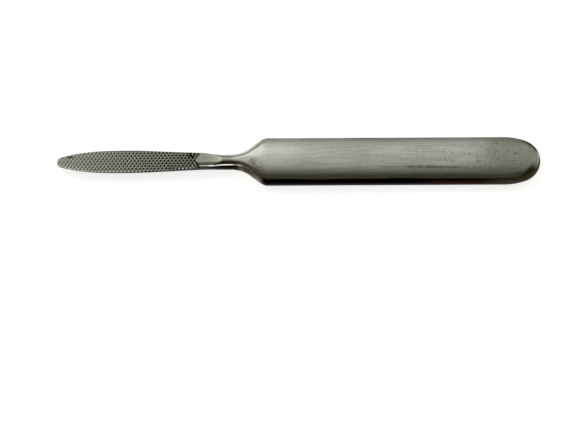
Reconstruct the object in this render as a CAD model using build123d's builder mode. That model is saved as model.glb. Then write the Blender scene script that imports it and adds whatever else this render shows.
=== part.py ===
"""A bone file: one forged steel tool with a leaf-shaped toothed head, a round neck and a flat handle.

Sizes are in millimetres. The tool lies on the underside of its handle, along X, with the tip of the
head at the low end and the toothed face up. The origin is at the middle of its length, on the
surface that it lies on.
"""

import os
from math import asin, atan, cos, degrees, radians, sin, sqrt, tan

from build123d import *

# Overall length
tool_length = 175.0

# Handle, a flat bar with round edges and a round end
handle_width = 18.4
handle_thickness = 6.2
end_side_radius = 21.0
end_nose_tightening = 0.8

# Shoulder, where the neck flares out to the handle
flare_radius = 10.8
flare_angle = 38.0
shoulder_corner_radius = 4.0

# Neck, the short round stretch between the throat of the head and the shoulder
neck_diameter = 5.4
neck_length = 2.0
throat_length = 11.1

# Narrow flat strip that is left halfway up each side of the neck and the handle, from its middle line
side_flat = 0.15

# Head, a leaf that thins towards its tip
head_width = 8.4
widest_at = 24.0
blunt_width = 2.6
leaf_fullness = 2.8
tip_thickness = 2.0
throat_thickness = 4.2
back_flat_width = 1.6
back_round_height_share = 0.6
tip_arc_margin = 1.01
tip_nose_easing = 0.2

# Blank that the head is ground and cut from
blank_overhang = 1.0
grinding_allowance = 0.4
blank_edge_radius = 0.3

# Upper face, ground flat a little past the teeth, with a curved run-out up the neck
ground_extra_length = 2.6
runout_radius = 70.0
runout_angle = 12.0

# Teeth, cut across the upper face in two directions, from the tip to the throat
cut_length = 49.9
tooth_spacing = 1.35
first_cut_angle = 54.8
second_cut_angle = 58.7
tooth_front_angle = 65.0
tooth_back_angle = 35.0
throat_cut_depth = 0.5
tip_cut_depth = 0.22
cutter_clearance = 0.06

# Number of sections that shape each stretch of the blank, from the tip to the handle
leaf_section_count = 6
rear_section_count = 4
throat_section_count = 4
flare_section_count = 3
slope_section_count = 2
corner_section_count = 3

# Places along the tool, measured from the tip
neck_start = cut_length + throat_length
neck_end = neck_start + neck_length
flare_end = neck_end + flare_radius * sin(radians(flare_angle))

# Slope of the shoulder, straight between its two arcs
neck_radius = neck_diameter / 2
handle_half_width = handle_width / 2
flare_rise = flare_radius * (1 - cos(radians(flare_angle)))
corner_drop = shoulder_corner_radius * (1 - cos(radians(flare_angle)))
slope_rise = handle_half_width - corner_drop - neck_radius - flare_rise
slope_end = flare_end + slope_rise / tan(radians(flare_angle))
shoulder_end = slope_end + shoulder_corner_radius * sin(radians(flare_angle))

# Places and sizes in the tool's own frame
tip_x = -tool_length / 2
end_x = tool_length / 2
handle_start = tip_x + shoulder_end
middle_z = handle_thickness / 2
handle_edge_radius = handle_thickness / 2 - side_flat
neck_edge_radius = neck_radius - side_flat
face_at_tip = middle_z + tip_thickness / 2
face_at_throat = middle_z + throat_thickness / 2
face_slope = (face_at_throat - face_at_tip) / cut_length


def ease(place, start, end):
    """Goes smoothly from 0 at start to 1 at end."""
    share = min(max((place - start) / (end - start), 0.0), 1.0)
    return share * share * (3 - 2 * share)


def blend(first, last, share):
    """The value at a share of the way from first to last."""
    return first + (last - first) * share


def half_width(place):
    """Half of the width of the head, neck or shoulder at a distance from the tip."""
    if place <= widest_at:
        narrowing = (1 - place / widest_at) ** leaf_fullness
        return blend(head_width, blunt_width, narrowing) / 2
    if place <= neck_end:
        return blend(head_width, neck_diameter, ease(place, widest_at, neck_start)) / 2
    if place <= flare_end:
        return neck_radius + flare_radius - sqrt(flare_radius**2 - (place - neck_end) ** 2)
    if place <= slope_end:
        return neck_radius + flare_rise + (place - flare_end) * tan(radians(flare_angle))
    short_of_end = shoulder_end - place
    return handle_half_width - shoulder_corner_radius + sqrt(shoulder_corner_radius**2 - short_of_end**2)


def half_thickness(place):
    """Half of the thickness of the head, neck or shoulder at a distance from the tip."""
    head = blend(tip_thickness, throat_thickness, min(place / cut_length, 1.0)) / 2
    if place <= neck_end:
        return blend(head, neck_radius, ease(place, cut_length, neck_start))
    return blend(neck_radius, middle_z, ease(place, neck_end, shoulder_end))


def spread(start, end, steps):
    """Places at even steps from start, without the end."""
    return [blend(start, end, i / steps) for i in range(steps)]


section_places = (
    spread(-blank_overhang, widest_at, leaf_section_count)
    + spread(widest_at, cut_length, rear_section_count)
    + spread(cut_length, neck_start, throat_section_count)
    + [neck_start]
    + spread(neck_end, flare_end, flare_section_count)
    + spread(flare_end, slope_end, slope_section_count)
    + spread(slope_end, shoulder_end, corner_section_count)
    + [shoulder_end]
)

# Handle: a flat bar with a round end of three arcs, its long edges rounded over
end_nose_radius = handle_half_width - end_nose_tightening
nose_centre = end_x - end_nose_radius
side_centre_y = handle_half_width - end_side_radius
centre_gap = end_side_radius - end_nose_radius
side_centre_x = nose_centre - sqrt(centre_gap**2 - side_centre_y**2)
side_turn = degrees(asin((nose_centre - side_centre_x) / centre_gap))

with BuildPart() as handle:
    with BuildSketch(Plane.XY):
        with BuildLine():
            Line((handle_start, handle_half_width), (side_centre_x, handle_half_width))
            CenterArc((side_centre_x, side_centre_y), end_side_radius, 90, -side_turn)
            CenterArc((nose_centre, 0), end_nose_radius, 90 - side_turn, 2 * side_turn - 180)
            CenterArc((side_centre_x, -side_centre_y), end_side_radius, side_turn - 90, -side_turn)
            Line((side_centre_x, -handle_half_width), (handle_start, -handle_half_width))
            Line((handle_start, -handle_half_width), (handle_start, handle_half_width))
        make_face()
    extrude(amount=handle_thickness)
    rims = handle.faces().filter_by(Axis.Z).edges()
    front = handle.faces().sort_by(Axis.X)[0].edges()
    fillet(rims - front, handle_edge_radius)

with BuildPart() as bone_file:
    # Blank of the head, neck and shoulder: lofted through rounded sections, each with a flat top,
    # a flat back, upright sides, small top corners and broad back corners that turn round at the neck
    for place in section_places:
        width = half_width(place)
        height = half_thickness(place)
        roundness = ease(place, cut_length, neck_start)
        round_radius = blend(neck_edge_radius, handle_edge_radius, ease(place, neck_end, shoulder_end))
        top_radius = blend(blank_edge_radius, round_radius, roundness)
        back_radius_y = blend(width - back_flat_width / 2, round_radius, roundness)
        back_radius_z = blend(2 * height * back_round_height_share, round_radius, roundness)
        top = middle_z + height + grinding_allowance * (1 - roundness)
        bottom = middle_z - height
        top_flat, top_side = width - top_radius, top - top_radius
        back_flat, back_side = width - back_radius_y, bottom + back_radius_z
        with BuildSketch(Plane.YZ.offset(tip_x + place)):
            with BuildLine():
                Line((top_flat, top), (-top_flat, top))
                EllipticalCenterArc((-top_flat, top_side), top_radius, top_radius, 90)
                Line((-width, top_side), (-width, back_side))
                EllipticalCenterArc((-back_flat, back_side), back_radius_y, back_radius_z, 180)
                Line((-back_flat, bottom), (back_flat, bottom))
                EllipticalCenterArc((back_flat, back_side), back_radius_y, back_radius_z, 270)
                Line((width, back_side), (width, top_side))
                EllipticalCenterArc((top_flat, top_side), top_radius, top_radius, 0)
            make_face()
    loft()

    # Tip in plan: rounded by an arc that meets the slanting sides of the leaf
    side_slope = atan((head_width - blunt_width) / 2 * leaf_fullness / widest_at)
    tip_radius = tip_arc_margin * blunt_width / 2 * cos(side_slope) / (1 - sin(side_slope))
    with BuildSketch(Plane.XY):
        with Locations((tip_x + tip_radius, 0)):
            Circle(tip_radius)
        with Locations((tip_x + tip_radius * (1 - sin(side_slope)), 0)):
            Rectangle(shoulder_end, 2 * handle_width, align=(Align.MIN, Align.CENTER))
    extrude(amount=2 * handle_thickness, mode=Mode.INTERSECT)

    # Tip in side view: rounded by an arc a little larger than half of its thickness
    tip_side_radius = tip_thickness / 2 + tip_nose_easing
    with BuildSketch(Plane.XZ):
        with Locations((tip_x + tip_side_radius, middle_z)):
            Circle(tip_side_radius)
            Rectangle(shoulder_end, 2 * handle_thickness, align=(Align.MIN, Align.CENTER))
    extrude(amount=handle_width, both=True, mode=Mode.INTERSECT)

    # Upper face of the head: ground flat, then curving up to run out along the neck
    ground_length = cut_length + ground_extra_length
    with BuildSketch(Plane.XZ):
        with BuildLine():
            face = Line(
                (tip_x - blank_overhang, face_at_tip - face_slope * blank_overhang),
                (tip_x + ground_length, face_at_tip + face_slope * ground_length),
            )
            runout = JernArc(face @ 1, face % 1, runout_radius, runout_angle)
            above = face_at_throat + handle_thickness + runout_radius * sin(radians(runout_angle))
            Polyline(runout @ 1, ((runout @ 1).X, above), ((face @ 0).X, above), face @ 0)
        make_face()
    extrude(amount=handle_width, both=True, mode=Mode.SUBTRACT)
    add(handle.part)

    # Teeth: rows of V-shaped cuts in two directions, whose floor slopes up to the face at the tip
    throat_floor = Vector(tip_x + cut_length, 0, face_at_throat - throat_cut_depth)
    tip_floor = Vector(tip_x, 0, face_at_tip - tip_cut_depth)
    row_plane = Plane(origin=throat_floor, x_dir=tip_floor - throat_floor, z_dir=Axis.Y.direction)
    cutter_height = throat_cut_depth + cutter_clearance
    cut_count = int(cut_length / tooth_spacing) + 1
    for angle in (first_cut_angle, 180 - second_cut_angle):
        back_run = cutter_height / tan(radians(tooth_back_angle)) / sin(radians(angle))
        front_run = cutter_height / tan(radians(tooth_front_angle)) / sin(radians(angle))
        along = row_plane.x_dir * -cos(radians(angle)) + row_plane.z_dir * sin(radians(angle))
        with BuildSketch(row_plane):
            with Locations([(i * tooth_spacing, 0) for i in range(cut_count)]):
                Polygon((0, 0), (back_run, cutter_height), (-front_run, cutter_height), align=None)
        extrude(amount=head_width, dir=along, both=True, mode=Mode.SUBTRACT)

bone_file.part.label = "bone_file"
os.makedirs("parts", exist_ok=True)
export_step(bone_file.part, "parts/bone_file.step")
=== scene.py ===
from math import asin, atan, cos, pi, radians, sin, sqrt, tan

import bmesh
import bpy
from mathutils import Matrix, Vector


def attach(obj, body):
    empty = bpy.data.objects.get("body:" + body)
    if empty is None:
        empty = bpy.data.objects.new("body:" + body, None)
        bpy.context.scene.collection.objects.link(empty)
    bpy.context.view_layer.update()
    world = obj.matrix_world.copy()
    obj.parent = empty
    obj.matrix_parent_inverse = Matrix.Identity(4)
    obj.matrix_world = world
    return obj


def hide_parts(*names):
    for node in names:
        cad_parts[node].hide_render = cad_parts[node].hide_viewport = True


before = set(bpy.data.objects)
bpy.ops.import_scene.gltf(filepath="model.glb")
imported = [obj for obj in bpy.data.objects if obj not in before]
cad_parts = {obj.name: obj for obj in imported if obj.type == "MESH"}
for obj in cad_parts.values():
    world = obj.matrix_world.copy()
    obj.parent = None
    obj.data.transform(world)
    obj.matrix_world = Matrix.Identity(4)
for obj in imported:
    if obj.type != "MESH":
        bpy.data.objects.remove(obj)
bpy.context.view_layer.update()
mm = 0.001

# Camera: nearly above the tool, seen from its near side with a long lens
photo_width, photo_height = 577, 433
pixel = 0.3605 * mm
lens, sensor = 400.0, 36.0
view_angle = radians(65)
turn_angle = radians(-0.32)
tool_at = Vector((299.0, 161.75))
aim_height = 3.1 * mm
aim = Vector((
    -(tool_at.x - photo_width / 2) * pixel,
    -(photo_height / 2 - tool_at.y) * pixel / sin(view_angle),
    aim_height,
))
back = Vector((
    sin(turn_angle) * cos(view_angle),
    -cos(turn_angle) * cos(view_angle),
    sin(view_angle),
))
camera_data = bpy.data.cameras.new("camera")
camera_data.lens = lens
camera_data.sensor_width = sensor
camera_data.clip_start = 0.1
camera_data.clip_end = 50
camera = bpy.data.objects.new("camera", camera_data)
bpy.context.scene.collection.objects.link(camera)
camera.location = aim + back * (photo_width * pixel * lens / sensor)
camera.rotation_euler = (-back).to_track_quat("-Z", "Y").to_euler()
bpy.context.scene.camera = camera
bpy.context.scene.view_settings.view_transform = "Standard"


# Modelling helpers

def alone(piece):
    """Selects one piece and makes it the active one."""
    bpy.ops.object.select_all(action="DESELECT")
    piece.select_set(True)
    bpy.context.view_layer.objects.active = piece


def start_point(name, x, y, z):
    """A new piece in edit mode that is one selected point."""
    bpy.ops.object.select_all(action="DESELECT")
    bpy.ops.mesh.primitive_plane_add(size=1, location=(0, 0, 0))
    piece = bpy.context.object
    piece.name = name
    piece.data.name = name
    bpy.ops.object.mode_set(mode="EDIT")
    bpy.ops.mesh.select_mode(type="VERT")
    bpy.ops.mesh.select_all(action="SELECT")
    bpy.ops.mesh.merge(type="CENTER")
    bpy.ops.transform.translate(value=(x, y, z))
    return piece


def draw_on(x, y, z):
    """Extrudes what is selected by a step."""
    bpy.ops.mesh.extrude_region_move(TRANSFORM_OT_translate={"value": (x, y, z)})


def swing_on(steps, angle, centre, axis):
    """Carries what is selected round an axis."""
    bpy.ops.mesh.spin(steps=steps, angle=angle, center=centre, axis=axis, use_auto_merge=False)


def close_face():
    """Fills everything that is drawn with one face."""
    bpy.ops.mesh.select_all(action="SELECT")
    bpy.ops.mesh.edge_face_add()


def face_outward():
    """Turns all faces outward."""
    bpy.ops.mesh.select_all(action="SELECT")
    bpy.ops.mesh.normals_make_consistent(inside=False)


def pick(piece, points=None, edges=None, faces=None):
    """Selects in edit mode the points, edges or faces that a rule holds for."""
    mesh = bmesh.from_edit_mesh(piece.data)
    for group in (mesh.verts, mesh.edges, mesh.faces):
        for item in group:
            item.select = False
    for group, rule in ((mesh.verts, points), (mesh.edges, edges), (mesh.faces, faces)):
        if rule:
            for item in group:
                if rule(item):
                    item.select = True
    mode = "VERT" if points else "EDGE" if edges else "FACE"
    bpy.ops.mesh.select_mode(type=mode)
    if mode == "VERT":
        mesh.select_flush(True)
    bmesh.update_edit_mesh(piece.data)


def near(first, second, reach=0.002):
    """Whether two places are the same but for a hair."""
    return abs(first - second) < reach


def open_end(piece):
    """The lowest x of the piece, where its open end is."""
    return min(vert.co.x for vert in bmesh.from_edit_mesh(piece.data).verts)


def finish_modifier(piece, kind, **values):
    """Adds a modifier with its values and applies it."""
    alone(piece)
    modifier = piece.modifiers.new(kind.lower(), kind)
    for name, value in values.items():
        setattr(modifier, name, value)
    bpy.ops.object.modifier_apply(modifier=modifier.name)


def cut_with(piece, cutter):
    """Cuts one closed shape out of another, and takes it away."""
    finish_modifier(piece, "BOOLEAN", object=cutter, operation="DIFFERENCE", solver="EXACT")
    bpy.data.objects.remove(cutter)


# Sizes of the tool, in millimetres, with places along it measured from the tip

# Handle
tip_x = -87.5
end_x = 87.5
middle_z = 3.1
handle_half = 9.2
edge_radius = 2.95
side_flat_half = 0.15
side_radius = 21.0
nose_radius = 8.4

# Neck and shoulder
neck_half = 2.7
neck_edge = 2.55
neck_start = 61.0
neck_end = 63.0
flare_radius = 10.8
corner_radius = 4.0
slope = radians(38)
flare_end = neck_end + flare_radius * sin(slope)
slope_rise = handle_half - neck_half - (flare_radius + corner_radius) * (1 - cos(slope))
slope_end = flare_end + slope_rise / tan(slope)
shoulder_end = slope_end + corner_radius * sin(slope)
handle_start = tip_x + shoulder_end

# Head
cut_length = 49.9
head_half = 4.2
blunt_half = 1.3
widest_at = 24.0
leaf_fullness = 2.8
tip_half_thickness = 1.0
throat_half_thickness = 2.1
face_at_tip = 4.1
face_at_throat = 5.2
face_slope = (face_at_throat - face_at_tip) / cut_length

# Blank that the head is ground from
grinding_allowance = 0.4
blank_edge = 0.3
back_flat_half = 0.8
back_round_share = 0.6
corner_width_share = 0.4
corner_height_share = 0.2

# Grinding of the upper face, past the teeth and up the neck
ground_extra = 2.6
runout_radius = 70
runout_angle = radians(12)
runout_steps = 10

# Teeth, cut in two directions
cut_angles = (radians(54.8), radians(180 - 58.7))
tooth_spacing = 1.35
cut_count = 37
throat_cut_depth = 0.5
tip_cut_depth = 0.22
tooth_back_angle = radians(35)
tooth_front_angle = radians(65)
cutter_height = 0.56
cutter_reach = 8.4
second_cut_lift = 0.02

# Crown of the broad faces of the handle
crown_fall = 2.25
crown_root = 1 / 3
crowned_share = 0.99


def ease(place, start, end):
    """Goes smoothly from 0 at start to 1 at end."""
    share = min(max((place - start) / (end - start), 0.0), 1.0)
    return share * share * (3 - 2 * share)


def blend(first, last, share):
    """The value at a share of the way from first to last."""
    return first + (last - first) * share


# Tip: an arc in plan that meets the slanting sides of the leaf, and a smaller one in side view
tip_arc_margin = 1.01
tip_side_slope = atan((head_half - blunt_half) * leaf_fullness / widest_at)
tip_radius = tip_arc_margin * blunt_half * cos(tip_side_slope) / (1 - sin(tip_side_slope))
tip_arc_end = tip_radius * (1 - sin(tip_side_slope))
tip_side_radius = 1.2


def half_width(place):
    """Half of the width of the head, neck or shoulder."""
    if place < tip_arc_end:
        return sqrt(tip_radius**2 - (tip_radius - place) ** 2)
    if place <= widest_at:
        return blend(head_half, blunt_half, (1 - place / widest_at) ** leaf_fullness)
    if place <= neck_end:
        return blend(head_half, neck_half, ease(place, widest_at, neck_start))
    if place <= flare_end:
        return neck_half + flare_radius - sqrt(flare_radius**2 - (place - neck_end) ** 2)
    if place <= slope_end:
        return neck_half + flare_radius * (1 - cos(slope)) + (place - flare_end) * tan(slope)
    return handle_half - corner_radius + sqrt(corner_radius**2 - (shoulder_end - place) ** 2)


def half_thickness(place):
    """Half of the thickness of the head, neck or shoulder."""
    head = blend(tip_half_thickness, throat_half_thickness, min(place / cut_length, 1.0))
    if place <= neck_end:
        return blend(head, neck_half, ease(place, cut_length, neck_start))
    return blend(neck_half, middle_z, ease(place, neck_end, shoulder_end))


def section(place):
    """The rounded corners of a section, top and back: centre y and z, and radius along y and z."""
    width, height = half_width(place), half_thickness(place)
    roundness = ease(place, cut_length, neck_start)
    round_radius = blend(neck_edge, edge_radius, ease(place, neck_end, shoulder_end))
    top = middle_z + height + grinding_allowance * (1 - roundness)
    bottom = middle_z - height
    full_height = 2 * height
    if place < tip_side_radius:
        nose = sqrt(tip_side_radius**2 - (tip_side_radius - place) ** 2)
        top, bottom = min(top, middle_z + nose), max(bottom, middle_z - nose)
        full_height = top - bottom
    top_radius = blend(blank_edge, round_radius, roundness)
    if roundness == 0:
        top_radius = min(top_radius, corner_width_share * width, corner_height_share * (top - bottom))
    back_y = blend(max(width - back_flat_half, corner_width_share * width), round_radius, roundness)
    back_z = blend(back_round_share * full_height, round_radius, roundness)
    return {
        "top": (width - top_radius, top - top_radius, top_radius, top_radius),
        "back": (width - back_y, bottom + back_z, back_y, back_z),
    }


# Handle: drawn in plan, raised and rounded over

nose_centre = end_x - nose_radius
side_y = handle_half - side_radius
side_x = nose_centre - sqrt((side_radius - nose_radius) ** 2 - side_y**2)
side_turn = asin((nose_centre - side_x) / (side_radius - nose_radius))
side_steps = 6
nose_steps = 28
edge_steps = 12
flat_half = handle_half - edge_radius
up = (0, 0, 1)
point_slack = 0.01

# How much of a face's normal lies along an axis when the face counts as front or level
front_share = 0.99
level_share = 0.9999

steel = start_point("bone_file_steel", handle_start, handle_half, 0)
draw_on(side_x - handle_start, 0, 0)
swing_on(side_steps, side_turn, (side_x, side_y, 0), up)
swing_on(nose_steps, pi - 2 * side_turn, (nose_centre, 0, 0), up)
swing_on(side_steps, side_turn, (side_x, -side_y, 0), up)
draw_on(handle_start - side_x, 0, 0)
pick(steel, points=lambda vert: near(vert.co.x, handle_start))
bpy.ops.mesh.edge_face_add()
close_face()
draw_on(0, 0, 2 * middle_z)
face_outward()
pick(steel, edges=lambda edge: near(edge.verts[0].co.z, edge.verts[1].co.z)
     and not all(near(vert.co.x, handle_start) for vert in edge.verts))
bpy.ops.mesh.bevel(offset=edge_radius, segments=edge_steps, profile=0.5, affect="EDGES",
                   clamp_overlap=False)
pick(steel, faces=lambda face: face.normal.x < -front_share)
bpy.ops.mesh.delete(type="ONLY_FACE")

# Its two broad faces are divided into strips that run along it
strip_count = 10
for strip in range(1, strip_count):
    pick(steel, faces=lambda face: abs(face.normal.z) > level_share)
    line_y = flat_half * (2 * strip / strip_count - 1)
    bpy.ops.mesh.bisect(plane_co=(0, line_y, 0), plane_no=(0, 1, 0), threshold=0.001)

# The points of its open front are named, so that each corner and face can be shaped by itself
corner_names = []
corner_from = flat_half - point_slack
for hand, hand_name in ((-1, "near"), (1, "far")):
    for level, level_name in ((1, "top"), (-1, "back")):
        corner_name = hand_name + " " + level_name
        pick(steel, points=lambda vert: near(vert.co.x, handle_start)
             and vert.co.y * hand > corner_from and (vert.co.z - middle_z) * level > 0)
        steel.vertex_groups.new(name=corner_name)
        bpy.ops.object.vertex_group_assign()
        corner_names.append((corner_name, hand, level_name))
for level, level_name in ((1, "top"), (-1, "back")):
    pick(steel, points=lambda vert: near(vert.co.x, handle_start)
         and abs(vert.co.y) < corner_from and (vert.co.z - middle_z) * level > 0)
    steel.vertex_groups.new(name=level_name)
    bpy.ops.object.vertex_group_assign()


def pick_newest(name):
    """Selects the points of a named group in the ring that was extruded last."""
    mesh = bmesh.from_edit_mesh(steel.data)
    layer = mesh.verts.layers.deform.active
    index = steel.vertex_groups[name].index
    ring_x = open_end(steel)
    for edge in mesh.edges:
        edge.select = False
    for vert in mesh.verts:
        vert.select = near(vert.co.x, ring_x) and index in vert[layer]
    mesh.select_flush_mode()
    bmesh.update_edit_mesh(steel.data)


def next_ring(old_place, new_place):
    """Extrudes the open end to the next section and fits its corners and faces to it."""
    ring_x = open_end(steel)
    pick(steel, points=lambda vert: near(vert.co.x, ring_x))
    draw_on(new_place - old_place, 0, 0)
    old, new = section(old_place), section(new_place)
    for name, hand, level_name in corner_names:
        old_y, old_z, old_ry, old_rz = old[level_name]
        new_y, new_z, new_ry, new_rz = new[level_name]
        pick_newest(name)
        bpy.ops.transform.resize(
            value=(1, new_ry / old_ry, new_rz / old_rz), center_override=(0, hand * old_y, old_z)
        )
        bpy.ops.transform.translate(value=(0, hand * (new_y - old_y), new_z - old_z))
    for level_name, level in (("top", 1), ("back", -1)):
        old_y, old_z, old_ry, old_rz = old[level_name]
        new_y, new_z, new_ry, new_rz = new[level_name]
        pick_newest(level_name)
        bpy.ops.transform.resize(value=(1, new_y / old_y, 1), center_override=(0, 0, 0))
        bpy.ops.transform.translate(value=(0, 0, new_z + level * new_rz - old_z - level * old_rz))


def spread(start, end, steps):
    """Places at even steps from start, with the end."""
    return [blend(start, end, step / steps) for step in range(1, steps + 1)]


# Shoulder, neck and head: the open front is carried on, section by section, to the tip
corner_steps, flare_steps = 6, 12
corner_turns = [shoulder_end - corner_radius * sin(slope * step / corner_steps)
                for step in range(1, corner_steps + 1)]
flare_turns = [neck_end + flare_radius * sin(slope * step / flare_steps)
               for step in range(flare_steps - 1, -1, -1)]
tip_turns = [tip_radius * (1 - cos(radians(turn))) for turn in (60, 50, 40, 30, 20, 10)]
blunt_from = 4
slope_rings, neck_rings, throat_rings, rear_rings, leaf_rings, blunt_rings = 5, 2, 14, 16, 16, 5
ring_places = (
    corner_turns
    + spread(slope_end, flare_end, slope_rings)
    + flare_turns
    + spread(neck_end, neck_start, neck_rings)
    + spread(neck_start, cut_length, throat_rings)
    + spread(cut_length, widest_at, rear_rings)
    + spread(widest_at, blunt_from, leaf_rings)
    + spread(blunt_from, tip_arc_end, blunt_rings)
    + tip_turns
)
last_place = shoulder_end
for ring_place in ring_places:
    next_ring(last_place, ring_place)
    last_place = ring_place
tip_ring_x = open_end(steel)
pick(steel, points=lambda vert: near(vert.co.x, tip_ring_x))
bpy.ops.mesh.edge_face_add()
face_outward()
bpy.ops.object.mode_set(mode="OBJECT")

# Both broad faces of the handle are crowned: they fall away towards its long edges
for vert in steel.data.vertices:
    from_tip = vert.co.x - tip_x
    width = half_width(from_tip) if from_tip < shoulder_end else handle_half
    out_share = min(abs(vert.co.y) / width, 1)
    if out_share < crowned_share:
        in_edge = max(out_share * handle_half - flat_half, 0)
        drawn = side_flat_half + sqrt(edge_radius**2 - in_edge**2) if in_edge else middle_z
        crowned = middle_z * (1 - out_share**crown_fall) ** crown_root
        thinning = blend(1, min(crowned / drawn, 1), ease(from_tip, neck_end, shoulder_end))
        vert.co.z = blend(middle_z, vert.co.z, thinning)

# Upper face of the head: ground flat, with a curved run-out up the neck
ground_length = cut_length + ground_extra
overhang = 2
grinder_height = 10
grinder_return = ground_length + 20
tilt = atan(face_slope)
runout_at = Vector((tip_x + ground_length, 0, face_at_tip + face_slope * ground_length))
wheel_centre = runout_at + runout_radius * Vector((-sin(tilt), 0, cos(tilt)))
grinder = start_point("grinder", tip_x - overhang, 0, face_at_tip - face_slope * overhang)
draw_on(ground_length + overhang, 0, face_slope * (ground_length + overhang))
swing_on(runout_steps, runout_angle, wheel_centre, (0, 1, 0))
draw_on(0, 0, grinder_height)
draw_on(-grinder_return, 0, 0)
close_face()
bpy.ops.transform.translate(value=(0, -handle_half, 0))
draw_on(0, 2 * handle_half, 0)
face_outward()
bpy.ops.object.mode_set(mode="OBJECT")
cut_with(steel, grinder)

# Teeth: rows of V-shaped cuts in two directions, shallower towards the tip. The second cutter is
# lifted by a hair, so that its floor doesn't lie in that of the first.
throat_floor = Vector((tip_x + cut_length, 0, face_at_throat - throat_cut_depth))
tip_floor = Vector((tip_x, 0, face_at_tip - tip_cut_depth))
row = (tip_floor - throat_floor).normalized()
sideways = Vector((0, 1, 0))
lift = sideways.cross(row)
for angle, lifted in zip(cut_angles, (0, second_cut_lift)):
    along = sideways * sin(angle) - row * cos(angle)
    back_wall = row * (cutter_height / tan(tooth_back_angle) / sin(angle)) + lift * cutter_height
    front_wall = -row * (cutter_height / tan(tooth_front_angle) / sin(angle)) + lift * cutter_height
    cutter = start_point("tooth_cutter", *(throat_floor + lift * lifted - along * cutter_reach))
    draw_on(*back_wall)
    draw_on(*(front_wall - back_wall))
    close_face()
    draw_on(*(along * (2 * cutter_reach)))
    face_outward()
    bpy.ops.object.mode_set(mode="OBJECT")
    finish_modifier(cutter, "ARRAY", count=cut_count, use_relative_offset=False,
                    use_constant_offset=True, constant_offset_displace=row * tooth_spacing)
    cut_with(steel, cutter)

# From millimetres to metres, smooth where it is round, sharp at the teeth and round the ground face
sharp_from = radians(24)
alone(steel)
steel.scale = (mm, mm, mm)
bpy.ops.object.transform_apply(location=False, rotation=False, scale=True)
bpy.ops.object.shade_smooth_by_angle(angle=sharp_from)
finish_modifier(steel, "WEIGHTED_NORMAL", mode="FACE_AREA", weight=50, keep_sharp=True)
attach(steel, "root")
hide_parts("bone_file")


# Shader helpers

def new_group(name, inputs, outputs):
    """An empty shader node group with its sockets, and its input and output nodes."""
    group = bpy.data.node_groups.new(name, "ShaderNodeTree")
    kinds = {"vector": "NodeSocketVector", "value": "NodeSocketFloat"}
    for label, kind, value in inputs:
        socket = group.interface.new_socket(label, in_out="INPUT", socket_type=kinds[kind])
        socket.default_value = value
    for label, kind in outputs:
        group.interface.new_socket(label, in_out="OUTPUT", socket_type=kinds[kind])
    return group, group.nodes.new("NodeGroupInput"), group.nodes.new("NodeGroupOutput")


def node(tree, kind, values=None, links=None, **settings):
    """Adds a node, sets its options and its sockets, and links other sockets into it."""
    made = tree.nodes.new(kind)
    for name, value in settings.items():
        setattr(made, name, value)
    for name, value in (values or {}).items():
        made.inputs[name].default_value = value
    for name, source in (links or {}).items():
        tree.links.new(source, made.inputs[name])
    return made


def work_out(tree, operation, first, *others, clamp=False):
    """Works out a value from terms, each a number or a socket, that are taken one after another."""
    result = first
    for other in others or (None,):
        made = tree.nodes.new("ShaderNodeMath")
        made.operation = operation
        made.use_clamp = clamp
        for index, term in enumerate((result, other)):
            if isinstance(term, (int, float)):
                made.inputs[index].default_value = term
            elif term is not None:
                tree.links.new(term, made.inputs[index])
        result = made.outputs[0]
    return result


def fade(tree, value, low_value, high_value, low_result=0.0, high_result=1.0):
    """Carries a value smoothly from one range to another."""
    made = node(tree, "ShaderNodeMapRange", {
        "From Min": low_value, "From Max": high_value, "To Min": low_result, "To Max": high_result,
    }, {"Value": value}, interpolation_type="SMOOTHSTEP")
    return made.outputs["Result"]


def noise(tree, position, scale, detail, roughness=0.5):
    """Soft random cloud between 0 and 1. Its scale is a number or a socket."""
    values = {"Detail": detail, "Roughness": roughness}
    links = {"Vector": position}
    if isinstance(scale, float):
        values["Scale"] = scale
    else:
        links["Scale"] = scale
    return node(tree, "ShaderNodeTexNoise", values, links).outputs["Fac"]


def mix(tree, share, first, second):
    """Mixes two colours, each a colour or a socket, by a share."""
    made = tree.nodes.new("ShaderNodeMix")
    made.data_type = "RGBA"
    tree.links.new(share, made.inputs["Factor"])
    for index, colour in ((6, first), (7, second)):
        if isinstance(colour, tuple):
            made.inputs[index].default_value = colour + (1,)
        else:
            tree.links.new(colour, made.inputs[index])
    return made.outputs[2]


# Streaks of fine grinding along the tool
streak_group, streak_in, streak_out = new_group(
    "ground_streaks",
    [("Place", "vector", (0, 0, 0)), ("Across", "value", 1600.0), ("Along", "value", 50.0)],
    [("Streaks", "value")],
)
stretch = node(streak_group, "ShaderNodeCombineXYZ", links={
    "X": streak_in.outputs["Along"],
    "Y": streak_in.outputs["Across"],
    "Z": streak_in.outputs["Across"],
})
stretched = node(streak_group, "ShaderNodeVectorMath", links={
    0: streak_in.outputs["Place"], 1: stretch.outputs[0],
}, operation="MULTIPLY")
streaks = noise(streak_group, stretched.outputs[0], 1.0, 3.0, 0.6)
streak_group.links.new(streaks, streak_out.inputs["Streaks"])

# Small pits and specks
speck_contrast = 18.0
speck_group, speck_in, speck_out = new_group(
    "specks",
    [("Place", "vector", (0, 0, 0)), ("Scale", "value", 900.0), ("Rarity", "value", 0.66)],
    [("Specks", "value")],
)
speck_cloud = noise(speck_group, speck_in.outputs["Place"], speck_in.outputs["Scale"], 2.0)
over = work_out(speck_group, "SUBTRACT", speck_cloud, speck_in.outputs["Rarity"])
speck_group.links.new(work_out(speck_group, "MULTIPLY", over, speck_contrast, clamp=True),
                      speck_out.inputs["Specks"])

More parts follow.
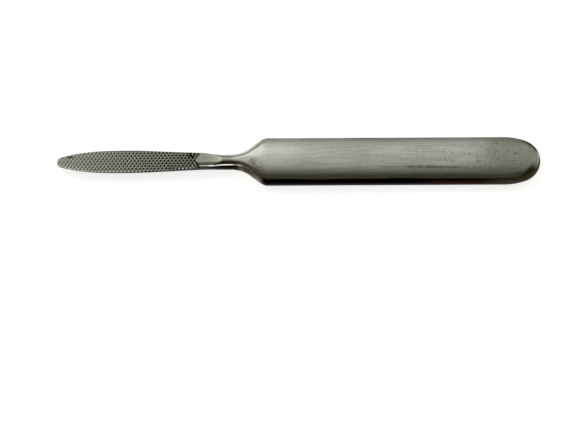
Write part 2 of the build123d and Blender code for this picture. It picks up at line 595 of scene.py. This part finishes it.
# A blotch with a ragged rim, round a place, with its own reach along each direction
rag_scale = 700.0
rag_swing = 3.0
rim_outside, rim_inside = 1.2, 0.3
blotch_group, blotch_in, blotch_out = new_group(
    "blotch",
    [("Place", "vector", (0, 0, 0)), ("Centre", "vector", (0, 0, 0)),
     ("Reach", "vector", (0.002, 0.002, 0.02)), ("Raggedness", "value", 0.5)],
    [("Blotch", "value")],
)
offset = node(blotch_group, "ShaderNodeVectorMath", links={
    0: blotch_in.outputs["Place"], 1: blotch_in.outputs["Centre"],
}, operation="SUBTRACT")
scaled = node(blotch_group, "ShaderNodeVectorMath", links={
    0: offset.outputs[0], 1: blotch_in.outputs["Reach"],
}, operation="DIVIDE")
distance = node(blotch_group, "ShaderNodeVectorMath", links={0: scaled.outputs[0]}, operation="LENGTH")
rag_cloud = noise(blotch_group, blotch_in.outputs["Place"], rag_scale, 3.0)
ragged = work_out(
    blotch_group, "MULTIPLY", work_out(blotch_group, "SUBTRACT", rag_cloud, 0.5),
    work_out(blotch_group, "MULTIPLY", blotch_in.outputs["Raggedness"], rag_swing),
)
ragged_distance = work_out(blotch_group, "ADD", distance.outputs["Value"], ragged)
blotch_group.links.new(fade(blotch_group, ragged_distance, rim_outside, rim_inside),
                       blotch_out.inputs["Blotch"])

# Painted shade: dark wedges where the two rows of cuts cross, in place of the shaded fronts of the
# teeth
wedge_group, wedge_in, wedge_out = new_group(
    "painted_wedge_shade",
    [("Place", "vector", (0, 0, 0)), ("Size", "value", 0.4)],
    [("Wedges", "value")],
)
wedge_axes = node(wedge_group, "ShaderNodeSeparateXYZ", links={0: wedge_in.outputs["Place"]}).outputs
from_cuts = []
wedge_shifts = (0.62, 0.38)
for angle, shift in zip(cut_angles, wedge_shifts):
    slant = work_out(wedge_group, "MULTIPLY", wedge_axes["Y"], 1 / tan(angle))
    in_row = work_out(wedge_group, "SUBTRACT", wedge_axes["X"], slant, (tip_x + cut_length) * mm)
    cuts_on = work_out(wedge_group, "DIVIDE", in_row, tooth_spacing * mm)
    between_cuts = work_out(wedge_group, "FRACT", work_out(wedge_group, "ADD", cuts_on, shift))
    from_cuts.append(work_out(wedge_group, "SUBTRACT", between_cuts, 0.5))
away = work_out(wedge_group, "MAXIMUM", *(work_out(wedge_group, "ABSOLUTE", cut) for cut in from_cuts))
past_rim = work_out(wedge_group, "SUBTRACT", away, wedge_in.outputs["Size"])
inside = fade(wedge_group, past_rim, 0.03, -0.07)
lower = fade(wedge_group, work_out(wedge_group, "SUBTRACT", from_cuts[1], from_cuts[0]), 0.26, 0.08)
wedge_group.links.new(work_out(wedge_group, "MULTIPLY", inside, lower), wedge_out.inputs["Wedges"])

# Steel finish. Places and reaches in it are in millimetres.
finish = bpy.data.materials.new("ground_steel")
finish.use_nodes = True
steel_tree = finish.node_tree
shader = steel_tree.nodes["Principled BSDF"]
position = node(steel_tree, "ShaderNodeTexCoord").outputs["Object"]
along_x, across_y, height_z = node(steel_tree, "ShaderNodeSeparateXYZ", links={0: position}).outputs


def times(*terms):
    """The product of values of the finish."""
    return work_out(steel_tree, "MULTIPLY", *terms)


def plus(*terms):
    """The sum of values of the finish."""
    return work_out(steel_tree, "ADD", *terms)


def minus(*terms):
    """The first value of the finish less the others."""
    return work_out(steel_tree, "SUBTRACT", *terms)


def largest(*terms):
    """The largest of values of the finish."""
    return work_out(steel_tree, "MAXIMUM", *terms)


def size_of(value):
    """A value of the finish without its sign."""
    return work_out(steel_tree, "ABSOLUTE", value)


def between(distance, start, end, low=0.0, high=1.0):
    """Fades from low at start to high at end, which are places in millimetres."""
    return fade(steel_tree, distance, start * mm, end * mm, low, high)


def use(group, **values):
    """Places an effect in the finish, read at the object's own coordinates."""
    made = steel_tree.nodes.new("ShaderNodeGroup")
    made.node_tree = group
    steel_tree.links.new(position, made.inputs["Place"])
    for name, value in values.items():
        made.inputs[name].default_value = value
    return made.outputs[0]


def blotch(centre, reach, raggedness):
    """A blotch in the finish, round a place."""
    return use(blotch_group, Centre=[step * mm for step in centre],
               Reach=[step * mm for step in reach], Raggedness=raggedness)


# Grain of the whole tool, and where the handle begins
handle_share = between(along_x, -24.0, -16.0)
broad = use(streak_group, Across=1700.0, Along=75.0)
fine = use(streak_group, Across=5200.0, Along=180.0)
cloud = use(streak_group, Across=160.0, Along=60.0)

# Painted highlight near the shoulder, as a brighter, more polished patch; the end of the handle darker
# (partly painted shade), duller, mottled and pitted
polish_and_highlight = blotch((-10.0, 3.0, 6.0), (14.0, 7.5, 20.0), 0.25)
wander = noise(steel_tree, position, 160.0, 2.0)
dull_and_shade = fade(steel_tree, plus(along_x, times(wander, 16.0 * mm)), 67.5 * mm, 82.0 * mm)
mottle = fade(steel_tree, noise(steel_tree, position, 1300.0, 3.0, 0.6), 0.46, 0.66)
mottle = times(mottle, fade(steel_tree, dull_and_shade, 0.0, 1.0, 0.35, 1.0), handle_share)
specks = times(use(speck_group, Scale=1000.0, Rarity=0.615), between(along_x, 20.0, 80.0, 0.15, 1.0),
               handle_share, between(height_z, 5.4, 5.8))

# Thin rust streaks along the handle, and stains
red_streak = blotch((50.0, -3.7, 6.0), (14.0, 0.60, 20.0), 0.6)
thin_streak = blotch((43.0, -3.1, 6.0), (7.5, 0.30, 20.0), 0.6)
far_streak = blotch((33.0, -3.5, 6.0), (11.0, 0.45, 20.0), 0.6)
brown_patch = blotch((-16.8, -0.8, 6.0), (1.9, 1.5, 20.0), 0.8)
brown_smear = blotch((-14.5, -5.0, 5.0), (3.0, 4.0, 20.0), 0.6)
blue_patch = blotch((60.5, 0.0, 6.0), (4.0, 9.0, 20.0), 0.5)
pit_stain = blotch((-46.2, -3.2, 5.0), (2.0, 0.9, 20.0), 0.5)
tip_spot = blotch((-82.6, 1.8, 4.5), (1.2, 0.6, 20.0), 0.4)
red_side = blotch((58.0, -8.8, 4.4), (15.0, 3.0, 0.6), 0.3)

# Throat: a darker ground face, with painted brown shade along its near edge and a painted dark
# reflection down to its rim
throat_start = between(along_x, -38.2, -36.4)
throat_face = times(throat_start, between(along_x, -22.5, -26.2))
throat_share = times(throat_start, between(along_x, -20.5, -23.5))
throat_painted_shade = times(throat_share, between(across_y, -0.5, -1.4), between(across_y, -2.35, -2.05))
throat_rim_painted_shade = times(throat_share, between(across_y, -2.40, -2.62), between(along_x, -30.0, -32.0))

# Painted highlight: a bright, smoother line that runs along the near side of the neck
line_height = middle_z + 1.93
neck_highlight = between(size_of(minus(height_z, line_height * mm)), 0.20, 0.08)
neck_highlight = times(neck_highlight, between(across_y, 0.0, -0.8), between(along_x, -31.0, -29.5),
                  between(along_x, -22.2, -24.5))
throat_highlight = between(size_of(plus(across_y, 2.36 * mm)), 0.22, 0.08)
throat_highlight = times(throat_highlight, throat_share, between(along_x, -29.5, -31.0))
painted_highlight_line = largest(neck_highlight, throat_highlight)

# Teeth: painted light on the flanks, and painted shade in the cuts, by how deep a point lies under the
# ground face
face_at_middle = face_at_tip - face_slope * tip_x
depth = minus(plus(times(along_x, face_slope), face_at_middle * mm), height_z)
head_share = between(along_x, tip_x + cut_length + 0.6, tip_x + cut_length)
in_cut = times(head_share, between(depth, 1.2, 0.8))
flank_painted_light = times(in_cut, between(depth, 0.02, 0.12), between(along_x, -80.0, -60.0, 0.60, 0.95))
cut_shade_wedges = times(use(wedge_group, Size=0.455), between(depth, 0.01, 0.05),
               between(along_x, -86.0, -54.0, 0.35, 0.99))
strokes = times(between(depth, 0.10, 0.24), between(along_x, -40.5, -39.5),
                between(across_y, 0.6, 1.2), 0.97)
cut_painted_shade = times(in_cut, largest(cut_shade_wedges, strokes))

# Painted shade along the near edge of the upper face of the handle, in place of a dark reflection
near_edge_painted_shade = times(between(across_y, -5.0, -6.4), handle_share)

# Sides: dark, partly as they were left after forging and partly painted shade in place of a dark
# reflection, by how far a point lies from the middle of the thickness. The dark band is narrower on
# the far side and wider round the end.
side_height = size_of(minus(height_z, middle_z * mm))
side_height = plus(side_height, times(minus(cloud, 0.5), 0.4 * mm))
side_height = minus(side_height, between(along_x, 79.0, 84.0, 0.0, 0.8 * mm))
side_height = plus(side_height, between(across_y, -1.0, 1.0, -0.18 * mm, 0.20 * mm))
far_slope = times(between(along_x, -27.0, -24.0), between(across_y, 0.0, 1.0))
handle_reach = largest(between(along_x, -16.5, -12.5), far_slope)
end_rim = times(between(along_x, 79.0, 84.5), between(across_y, -4.8, -2.0),
                between(across_y, 3.4, 1.8), between(side_height, 0.7, 1.1))
handle_side = times(between(side_height, 2.12, 1.84), handle_reach, minus(1.0, end_rim))
neck_side = times(between(side_height, 1.74, 1.58), between(along_x, -19.5, -22.2),
                  between(along_x, -41.0, -37.0))
head_side = times(between(depth, 0.32, 0.55), between(along_x, -30.0, -36.0))
dark_side_and_painted_shade = largest(handle_side, neck_side, head_side)
side_colour = mix(steel_tree, between(along_x, 63.0, 75.0),
                  (0.0015, 0.0008, 0.0006), (0.038, 0.032, 0.016))

# Painted brown shade on the near slope of the shoulder and on the flare
slope_painted_shade = times(blotch((-18.5, -6.0, 3.8), (11.0, 7.0, 4.5), 0.3), between(height_z, 5.5, 5.0),
                    between(along_x, -25.0, -22.5), minus(1.0, dark_side_and_painted_shade))
flare_painted_shade = blotch((-19.8, -3.9, 4.6), (4.0, 2.6, 1.8), 0.2)

# Colour: bare steel, and what lies over it, stains and painted light and shade, from the first coat to
# the last
colour = mix(steel_tree, fade(steel_tree, cloud, 0.3, 0.7), (0.525, 0.54, 0.478), (0.614, 0.63, 0.567))
coats = (
    (times(fade(steel_tree, broad, 0.40, 0.66), 0.55), (0.39, 0.40, 0.345)),
    # painted highlight near the shoulder with real polish, then the end darkened partly as painted
    # shade
    (times(polish_and_highlight, 0.7), (0.70, 0.71, 0.64)),
    (times(dull_and_shade, 0.85), (0.325, 0.335, 0.275)),
    (times(mottle, 0.45), (0.215, 0.22, 0.175)),
    (times(specks, 0.75), (0.16, 0.155, 0.12)),
    (times(red_streak, 0.65), (0.15, 0.105, 0.08)),
    (times(largest(thin_streak, far_streak), 0.45), (0.16, 0.12, 0.09)),
    (times(brown_patch, 0.6), (0.24, 0.18, 0.14)),
    (times(brown_smear, 0.5), (0.28, 0.22, 0.175)),
    (times(blue_patch, 0.16), (0.50, 0.53, 0.56)),
    # darker throat face, painted shade along its near edge and a painted dark reflection at its rim
    (times(throat_face, 0.75), (0.37, 0.38, 0.315)),
    (times(throat_painted_shade, 0.9), (0.085, 0.070, 0.045)),
    (times(throat_rim_painted_shade, 0.95), (0.008, 0.006, 0.004)),
    # painted highlight along the neck
    (painted_highlight_line, (0.90, 0.90, 0.87)),
    # painted light on the tooth flanks, then painted shade in the cuts
    (flank_painted_light, (0.95, 0.96, 0.89)),
    (cut_painted_shade, (0.006, 0.006, 0.004)),
    (times(pit_stain, 0.5), (0.24, 0.16, 0.08)),
    (times(tip_spot, 0.8), (0.05, 0.05, 0.035)),
    # painted shade along the near edge of the upper face
    (times(near_edge_painted_shade, 0.5), (0.20, 0.18, 0.115)),
    # dark sides: forging scale and painted shade
    (dark_side_and_painted_shade, side_colour),
    # painted shade on the near slope of the shoulder and the flare
    (slope_painted_shade, (0.085, 0.070, 0.050)),
    (times(flare_painted_shade, 0.75), (0.030, 0.022, 0.012)),
    (times(red_side, 0.5), (0.045, 0.008, 0.003)),
)
for coat_share, coat_colour in coats:
    colour = mix(steel_tree, coat_share, colour, coat_colour)
steel_tree.links.new(colour, shader.inputs["Base Color"])

roughness = plus(
    between(along_x, -30.0, -10.0, 0.14, 0.22),
    times(minus(fine, 0.5), 0.12),
    times(plus(specks, cut_painted_shade), 0.1),
    times(dark_side_and_painted_shade, 0.2),
    times(dull_and_shade, 0.10),
)
roughness = minus(roughness, times(painted_highlight_line, 0.06))
steel_tree.links.new(roughness, shader.inputs["Roughness"])
shader.inputs["Metallic"].default_value = 1.0

grain_height = times(plus(times(broad, 0.6), times(fine, 0.4)), plus(handle_share, 0.15))
grain_height = minus(grain_height, times(specks, 0.4))
bump = node(steel_tree, "ShaderNodeBump", {"Strength": 0.35, "Distance": 0.02 * mm},
            {"Height": grain_height})
steel_tree.links.new(bump.outputs["Normal"], shader.inputs["Normal"])
for piece in (steel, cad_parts["bone_file"]):
    piece.data.materials.clear()
    piece.data.materials.append(finish)

# Floor: plain paper. Its glow shows to the camera and in reflections only, and adds no light.
floor_glow = 0.70
bpy.ops.object.select_all(action="DESELECT")
bpy.ops.mesh.primitive_plane_add(size=6, location=(0, 0, -0.02 * mm))
floor = bpy.context.object
floor.name = "floor"
paper = bpy.data.materials.new("white_paper")
paper.use_nodes = True
paper_shader = paper.node_tree.nodes["Principled BSDF"]
paper_shader.inputs["Base Color"].default_value = (0.9, 0.9, 0.9, 1)
paper_shader.inputs["Roughness"].default_value = 1.0
paper_shader.inputs["Specular IOR Level"].default_value = 0.0
paper_shader.inputs["Emission Color"].default_value = (1, 1, 1, 1)
rays = paper.node_tree.nodes.new("ShaderNodeLightPath").outputs
seen = work_out(paper.node_tree, "MAXIMUM",
                rays["Is Camera Ray"], rays["Is Glossy Ray"], rays["Is Transmission Ray"])
paper.node_tree.links.new(work_out(paper.node_tree, "MULTIPLY", seen, floor_glow),
                          paper_shader.inputs["Emission Strength"])
floor.data.materials.append(paper)

# Studio, by degrees from straight overhead: light from the far side, a dark gap overhead and in
# front of it, and a bright strip low in front
world = bpy.data.worlds.new("studio")
bpy.context.scene.world = world
world.use_nodes = True
sky = world.node_tree
background = sky.nodes["Background"]
sky_position = node(sky, "ShaderNodeTexCoord").outputs["Generated"]
sky_axes = node(sky, "ShaderNodeSeparateXYZ", links={0: sky_position}).outputs
overhead_turn = work_out(sky, "ARCTAN2", sky_axes["Y"], sky_axes["Z"])
way_round = work_out(sky, "ADD", work_out(sky, "DIVIDE", overhead_turn, 2 * pi), 0.5)
ramp = node(sky, "ShaderNodeValToRGB", links={"Fac": way_round})
stops = (
    (-180, (0.1, 0.1, 0.1)),
    (-95, (0.4, 0.4, 0.38)),
    (-72, (0.8, 0.8, 0.76)),
    (-60, (1.3, 1.3, 1.25)),
    (-51, (1.3, 1.3, 1.25)),
    (-46, (0.050, 0.040, 0.024)),
    (-30, (0.060, 0.050, 0.030)),
    (-22, (0.095, 0.085, 0.055)),
    (4, (0.085, 0.077, 0.052)),
    (10, (0.22, 0.22, 0.19)),
    (18, (0.52, 0.53, 0.50)),
    (32, (0.66, 0.67, 0.64)),
    (46, (0.60, 0.61, 0.58)),
    (88, (0.22, 0.23, 0.21)),
    (180, (0.1, 0.1, 0.1)),
)
elements = ramp.color_ramp.elements
for _ in range(len(stops) - 2):
    elements.new(0.5)
for element, (turn_degrees, tint) in zip(elements, stops):
    element.position = turn_degrees / 360 + 0.5
    element.color = tint + (1,)
sky.links.new(ramp.outputs["Color"], background.inputs["Color"])
background.inputs["Strength"].default_value = 1.0


def soft_lamp(name, at, toward, width, depth, brightness):
    """An area lamp that points at a place, with the brightness of its face."""
    data = bpy.data.lights.new(name, "AREA")
    data.shape = "RECTANGLE"
    data.size, data.size_y = width, depth
    data.energy = brightness * width * depth * pi
    lamp = bpy.data.objects.new(name, data)
    bpy.context.scene.collection.objects.link(lamp)
    lamp.location = at
    lamp.rotation_euler = (Vector(toward) - Vector(at)).to_track_quat("-Z", "Y").to_euler()
    lamp.visible_camera = False


soft_lamp("key", (-0.225, 0.40, 0.55), (-0.015, 0, 0), 0.40, 0.28, 0.62)
soft_lamp("left_side", (-0.9, 0.3, 0.9), (0, 0, 0), 1.1, 1.1, 0.5)
soft_lamp("right_side", (0.9, 0.3, 0.9), (0, 0, 0), 1.1, 1.1, 0.15)
